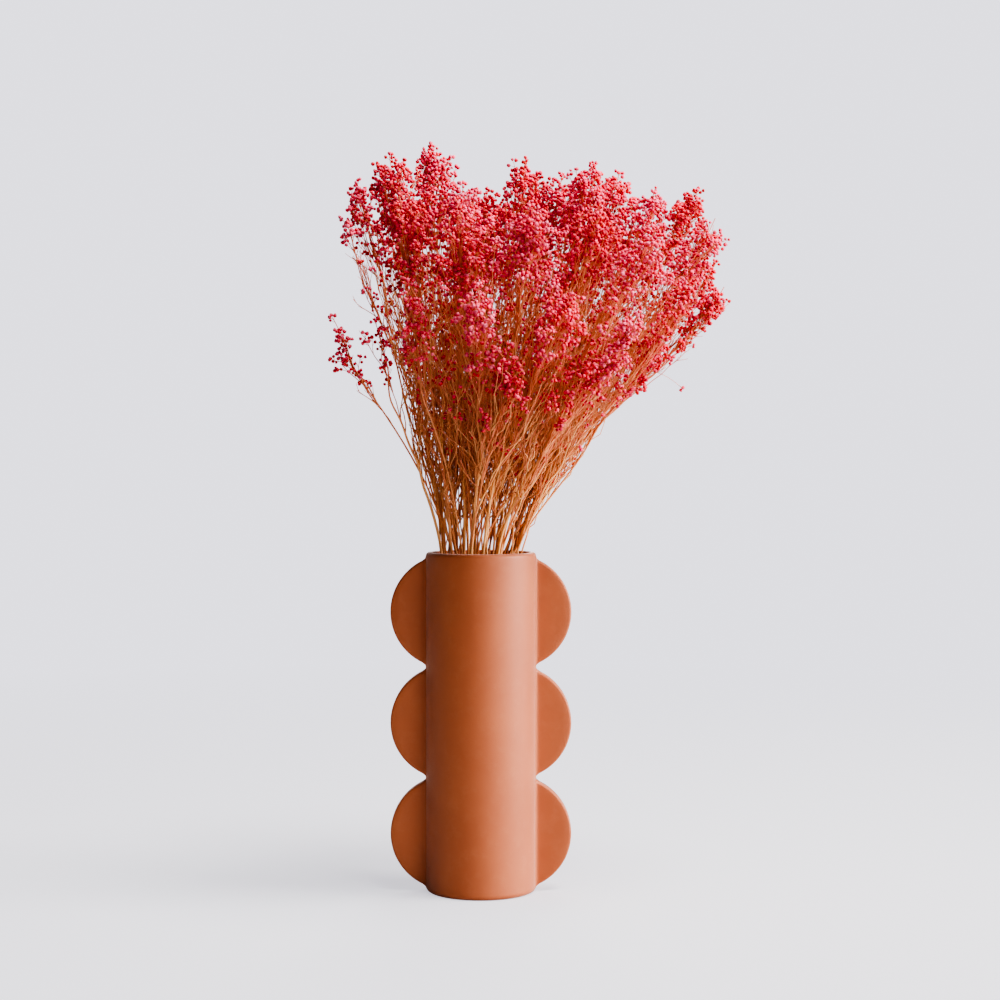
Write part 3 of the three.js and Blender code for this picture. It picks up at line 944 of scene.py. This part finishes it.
def sprig(twigs, buds, start, leaving, end, arriving, bud_tone):
    """A fine twig that forks on its way, with each fork ending a little beside it."""
    tone = rng.uniform(*SPRIG_TONES)
    bend = min(SPRIG_BEND, np.linalg.norm(end - start) * BEND_SHARE)
    course = bow(start, leaving, end, arriving, SPRIG_STEPS).wandering(bend, SPRIG_WAVE)
    shoot(twigs, buds, course, SPRIG_GIRTH, rng.randint(*SIDES_PER_SPRIG), tone, bud_tone)
    turn = rng.uniform(0, 2 * math.pi)
    for number in range(rng.choice(BRANCHES_PER_SPRIG)):
        share = rng.uniform(*BRANCH_SHARES)
        root, way = course.at(share), course.way(share)
        run = (1 - share) * course.length * rng.uniform(*BRANCH_RUN)
        goal = root + leaning(way, turn + number * GOLDEN_TURN, rng.uniform(*BRANCH_SLOPE)) * run
        if out_of_crown(goal) > buds.edge:
            continue
        branch = offshoot(root, way, goal, LEAVING_TURN, way, BRANCH_ALONG, BRANCH_STEPS)
        branch = branch.wandering(min(BRANCH_BEND, run * BEND_SHARE), BRANCH_WAVE)
        shoot(twigs, buds, branch, BRANCH_GIRTH, rng.randint(*SIDES_PER_SPRIG) - 1, tone, bud_tone)


def low_twigs(twigs, buds, path, bud_tone):
    """Side twigs low on a stem, which keep within the bunch and end bare or in a few buds."""
    turn = rng.uniform(0, 2 * math.pi)
    for number in range(LOW_TWIGS_PER_ARM):
        share = rng.uniform(*LOW_TWIG_SHARES)
        # Most of them are either dark or pale.
        tone = DARKEST_LOW_TWIG + LOW_TONE_SWING * (1 - math.cos(math.pi * rng.random()))
        root, way = path.at(share), path.way(share)
        for _ in range(TRIES_PER_TWIG):
            run = rng.uniform(*LOW_TWIG_RUN)
            slope = rng.uniform(*LOW_TWIG_SLOPE)
            goal = root + leaning(way, turn + number * GOLDEN_TURN + rng.uniform(-1, 1), slope) * run
            if out_of_crown(goal) < LOW_TWIG_EDGE and goal[2] < HIGHEST_LOW_TWIG:
                break
        else:
            continue
        course = offshoot(root, way, goal, LEAVING_TURN, UP, LOW_TWIG_RISE, LOW_TWIG_STEPS)
        course = course.wandering(*LOW_TWIG_BENDS)
        twigs.add(course.points, *LOW_TWIG_GIRTH, LOW_TWIG_DYE, tone)
        ends = [course]
        for fork in range(rng.choice(LOW_FORKS)):
            share = rng.uniform(*LOW_FORK_SHARES)
            root, way = course.at(share), course.way(share)
            reach = (1 - share) * run * rng.uniform(*LOW_FORK_RUN)
            goal = root + leaning(way, turn + fork * LOW_FORK_TURN, rng.uniform(*LOW_FORK_SLOPE)) * reach
            if out_of_crown(goal) > LOW_FORK_EDGE:
                continue
            branch = offshoot(root, way, goal, LEAVING_TURN, way, LOW_FORK_ALONG, LOW_FORK_STEPS)
            twigs.add(branch.wandering(*LOW_FORK_BENDS).points, *BRANCH_GIRTH, LOW_FORK_DYE, tone)
            ends.append(branch)
        for end in ends:
            # Buds low in the bunch get a darker tone than those of the heads, as painted shade.
            bud_end(twigs, buds, end, tone, bud_tone - LOW_BUD_PAINTED_SHADE, rng.randint(*LOW_BUDS_PER_END))


def plume(twigs, buds, arm, slim, bud_tone):
    """The head of one arm: sprigs that leave it at narrow angles and end under a rounded top."""
    start_turn = rng.uniform(0, 2 * math.pi)
    depth = min(PLUME_DEPTH, PLUME_SHARE * arm.length)
    count = max(FEWEST_SPRIGS, round(SPRIGS_PER_ARM * slim))
    for number in range(count):
        share = (number + rng.uniform(0, 1)) / count
        below_tip = depth * (1 - share) ** PLUME_TAPER + TIP_DROP
        swell = 1 - math.exp(-below_tip / PLUME_SWELL)
        girth = PLUME_GIRTH * slim * swell * math.sqrt(rng.uniform(*PLUME_FILL))
        run = max(SHORTEST_SPRIG, girth / rng.uniform(*SPRIG_SLOPE))
        end_share = 1 - below_tip / arm.length
        root_share = max(LOWEST_SPRIG, end_share - run / arm.length)
        axis = arm.way(end_share)
        side = across(axis, start_turn + number * GOLDEN_TURN) * girth
        end = arm.at(end_share) + side
        if out_of_crown(end) > PLUME_EDGE:
            end -= side * DRAWN_IN
        root = arm.at(root_share)
        straight = unit(end - root)
        leaving = between(arm.way(root_share), straight, SPRIG_TURN)
        arriving = between(between(straight, axis, SPRIG_ALONG), UP, SPRIG_RISE)
        sprig(twigs, buds, root, leaving, end, arriving, bud_tone)
    bud_end(twigs, buds, arm, TIP_TONE, bud_tone, TIP_BUDS)


BUD_DEEP = (0.52, 0.022, 0.022)
BUD_RED = (0.86, 0.055, 0.07)
BUD_CORAL = (0.95, 0.11, 0.20)
BUD_PINK = (0.98, 0.21, 0.34)
BUD_SHEEN = (1.0, 0.75, 0.78, 1)
BUD_HUES = ((0.0, BUD_DEEP), (0.25, BUD_RED), (0.7, BUD_CORAL), (1.0, BUD_PINK))
WRINKLE_DEPTH = 0.15
petal = Finish(
    "dried buds",
    Roughness=0.6,
    Specular_IOR_Level=0.2,
    Sheen_Weight=0.1,
    Sheen_Roughness=0.4,
    Sheen_Tint=BUD_SHEEN,
)
up_bud = petal.attribute("rise")
bud_hue = petal.colours(petal.attribute("tone"), *BUD_HUES)
# Each bud darkens towards its root, for its calyx and as painted shade where it meets its stalk, and pales
# towards its tip, for its petal tips and as a painted highlight.
calyx_and_painted_shade = petal.mixed(petal.spread(up_bud, 0, 0.5, low_to=0.8, high_to=0), bud_hue, BUD_DEEP)
pale_tip_and_painted_highlight = petal.mixed(petal.spread(up_bud, 0.6, 1, low_to=0, high_to=0.5), calyx_and_painted_shade, BUD_PINK)
wrinkles = petal.noise(0.6, detail=2, rough=0.5)
petal.relief((wrinkles, WRINKLE_DEPTH))
in_wrinkles = petal.spread(wrinkles, 0.4, 0.8, low_to=0, high_to=0.3)
bud_skin = petal.wear(petal.mixed(in_wrinkles, pale_tip_and_painted_highlight, BUD_DEEP))

# Two buds to copy, both with a ragged rim: one nearly closed, and one opened to a small hollow.
RIM_HEIGHT = 1.6
CLOSED_BUD = ((0.0, 0.0), (0.22, 0.7), (0.9, 1.0), (RIM_HEIGHT, 0.66), (1.95, 0.0))
OPEN_BUD = ((0.0, 0.0), (0.2, 0.66), (0.85, 1.0), (RIM_HEIGHT, 0.86), (1.05, 0.0))
RAGGED = (1.1, 0.9, 1.04, 0.84, 1.0)
BUD_SIDES = 5
bud_shapes = bpy.data.collections.new("bud shapes")
for name, outline_of_bud in (("closed", CLOSED_BUD), ("open", OPEN_BUD)):
    form = Skin()
    angles = np.linspace(0, 2 * math.pi, BUD_SIDES + 1)
    ragged = np.array(RAGGED + RAGGED[:1])
    rows = []
    for z, r in outline_of_bud:
        rim = ragged if z == RIM_HEIGHT else np.ones(BUD_SIDES + 1)
        rows.append(np.stack([r * np.cos(angles), r * np.sin(angles), z * rim], axis=1))
    form.add_grid(np.array(rows))
    bud_mesh = mesh_from(f"{name} bud", form.points, form.faces, 1)
    heights = np.array([v.co.z for v in bud_mesh.vertices])
    set_values(bud_mesh, "rise", heights / heights.max())
    bud_shapes.objects.link(bpy.data.objects.new(f"{name} bud", bud_mesh))

bead = Tree("buds on stalks", ("Size", "NodeSocketFloat"), ("Seed", "NodeSocketInt"))
shapes = bead.node(
    "GeometryNodeCollectionInfo",
    Collection=bud_shapes,
    Separate_Children=True,
    Reset_Children=True,
)
pick = bead.node("FunctionNodeRandomValue", {"data_type": "INT"}, Min=0, Max=1, Seed=bead.given["Seed"])
stalk_way = bead.attribute("way", "FLOAT_VECTOR")
aimed = bead.node("FunctionNodeAlignRotationToVector", {"axis": "Z"}, Vector=stalk_way)
spin = bead.node("FunctionNodeRandomValue", Min=0.0, Max=2 * math.pi, Seed=bead.given["Seed"])
spun = bead.node("FunctionNodeAxisAngleToRotation", Angle=live(spin.outputs))
turned_bud = bead.node(
    "FunctionNodeRotateRotation",
    {"rotation_space": "LOCAL"},
    Rotation=aimed.outputs[0],
    Rotate_By=spun.outputs[0],
)
placed_buds = bead.node(
    "GeometryNodeInstanceOnPoints",
    Points=bead.given["Geometry"],
    Instance=shapes.outputs[0],
    Pick_Instance=True,
    Instance_Index=live(pick.outputs),
    Rotation=turned_bud.outputs[0],
    Scale=bead.times(bead.attribute("size"), bead.given["Size"]),
)
bead.end(placed_buds.outputs[0], bud_skin)

for index, arms in enumerate(stem_arms):
    twigs = Twigs()
    outlying = index in OUTLYING_STEMS
    buds = Buds(OUTLYING_STEMS.get(index, EDGE_OF_CROWN), 1 if outlying else FLANK_SHARE)
    for k, arm in enumerate(arms):
        bud_tone = rng.uniform(*BUD_TONES)
        if k < HEADS_PER_STEM:
            buds.full_above = min(FULL_ABOVE, HEAD_TIPS[index][k][2] + ABOVE_LOW_TIP)
            buds.least_bloom = HEAD_BLOOM
            plume(twigs, buds, arm, SLENDER.get((index, k), 1), bud_tone)
        buds.full_above = FULL_ABOVE
        buds.least_bloom = LOW_BLOOM
        low_twigs(twigs, buds, arm, bud_tone)
        if (index, k) == STRAY_ARM:
            # One stray twig hangs out below the right edge with three buds on its end.
            goal, arriving = np.array(STRAY_END), unit(np.array(STRAY_WAY))
            stray = bow(arm.at(STRAY_ROOT), arm.way(STRAY_ROOT), goal, arriving, STRAY_STEPS)
            twigs.add(stray.points, *SIDE_GIRTH, STRAY_DYE, STRAY_TONE)
            root = stray.at(1)
            for number in range(STRAY_BUDS):
                way = leaning(stray.way(1), number * GOLDEN_TURN, STRAY_SLOPE)
                stalk_end = root + way * (STRAY_STALK + STALK_IN_BUD)
                twigs.add([root, stalk_end], *STALK_GIRTH, STRAY_STALK_DYE, STRAY_TONE)
                buds.add(root + way * STRAY_STALK, way, BUD_RADIUS * STRAY_BUD_SIZE, STRAY_TONE)
    twig_piece = tubes.grown(f"fine_twigs_{index + 1:02d}", twigs.mesh("twigs"), Sides=TWIG_SIDES, Girth=MM)
    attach(twig_piece, "root")
    bud_piece = bead.grown(f"buds_{index + 1:02d}", buds.mesh("buds"), Size=MM, Seed=index)
    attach(bud_piece, "root")
    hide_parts(f"head_{index + 1:02d}_a", f"head_{index + 1:02d}_b")
for shape in list(bud_shapes.objects):
    bpy.data.objects.remove(shape)
bpy.data.collections.remove(bud_shapes)

# The studio
# A plain pale floor that runs to the horizon, lit by a big soft window lamp from the right and three weaker
# lamps. The camera stands where the photograph was taken from, a little above the rim and nearly level.
FLOOR_REACH = 40
FLOOR_FADES = (0.2, 1.6)
PALE_FLOOR = (0.76, 0.75, 0.77)
FLOOR_BOUNCE = (0.46, 0.38, 0.34)
SKY = (1.13, 1.12, 1.24)
FILL_STRENGTH = 0.04
floor_mesh = bpy.data.meshes.new("floor")
form = bmesh.new()
bmesh.ops.create_grid(form, x_segments=1, y_segments=1, size=FLOOR_REACH)
form.to_mesh(floor_mesh)
form.free()
ground = Finish("pale floor", Roughness=0.9, Specular_IOR_Level=0.2)
seen_straight = ground.node("ShaderNodeLightPath").outputs["Is Camera Ray"]
ground.wear(ground.mixed(seen_straight, FLOOR_BOUNCE, PALE_FLOOR))
# The floor glows like the sky far out, where the camera looks straight at it.
distance = ground.node("ShaderNodeVectorMath", Vector=ground.place)
distance.operation = "LENGTH"
far = ground.spread(distance.outputs["Value"], *FLOOR_FADES, low_to=0.5, high_to=1)
glows = ground.node("ShaderNodeMath")
glows.operation = "MULTIPLY"
glow = ground.node("ShaderNodeEmission", Color=(*SKY, 1), Strength=1.0)
faded = ground.node("ShaderNodeMixShader")
for socket, value in zip(glows.inputs, (far, seen_straight)):
    ground.feed(socket, value)
for socket, value in zip(faded.inputs, (glows.outputs[0], ground.shader.outputs[0], glow.outputs[0])):
    ground.feed(socket, value)
ground.feed(ground.nodes["Material Output"].inputs["Surface"], faded.outputs[0])
floor = placed("floor", floor_mesh)
floor.data.materials.append(ground.material)


def lamp(name, place, aim, size, power, colour):
    """A soft rectangular light that points at a place."""
    light = bpy.data.lights.new(name, "AREA")
    light.shape = "RECTANGLE"
    light.size, light.size_y = size
    light.energy = power
    light.color = colour
    holder = placed(name, light)
    holder.visible_camera = False
    holder.location = place
    holder.rotation_euler = (Vector(aim) - Vector(place)).to_track_quat("-Z", "Y").to_euler()


lamp("window", (2.75, -0.4, 1.0), (0, 0, 0.28), (1.6, 1.6), 122, (1.0, 0.98, 0.97))
lamp("front", (1.8, -2.6, 1.0), (0, 0, 0.28), (1.6, 1.6), 23, (1.0, 0.98, 0.96))
lamp("top", (0.7, -0.5, 2.6), (0, 0, 0.4), (1.1, 1.1), 85, (1.0, 0.99, 0.98))
lamp("back", (0.3, 2.6, 2.0), (0, 0, 0.3), (1.4, 1.4), 38, (1.0, 0.99, 0.98))

world = bpy.data.worlds.new("studio")
bpy.context.scene.world = world
world.use_nodes = True
nodes = world.node_tree.nodes
backdrop = nodes["Background"]
fill = nodes.new("ShaderNodeBackground")
for background, strength in ((backdrop, 1.0), (fill, FILL_STRENGTH)):
    background.inputs["Color"].default_value = (*SKY, 1)
    background.inputs["Strength"].default_value = strength
seen = nodes.new("ShaderNodeLightPath")
either = nodes.new("ShaderNodeMixShader")
links = world.node_tree.links
links.new(seen.outputs["Is Camera Ray"], either.inputs[0])
links.new(fill.outputs[0], either.inputs[1])
links.new(backdrop.outputs[0], either.inputs[2])
links.new(either.outputs[0], nodes["World Output"].inputs["Surface"])

CAMERA_PLACE = (0.0135, -1.451, 0.308)
CAMERA_DROP = math.radians(1.23)
lens = bpy.data.cameras.new("camera")
lens.sensor_width = 36
lens.lens = 73.85
camera = placed("camera", lens)
camera.location = CAMERA_PLACE
camera.rotation_euler = (math.pi / 2 - CAMERA_DROP, 0, 0)
bpy.context.scene.camera = camera
bpy.context.scene.view_settings.view_transform = "AgX"
bpy.context.scene.view_settings.look = "AgX - High Contrast"
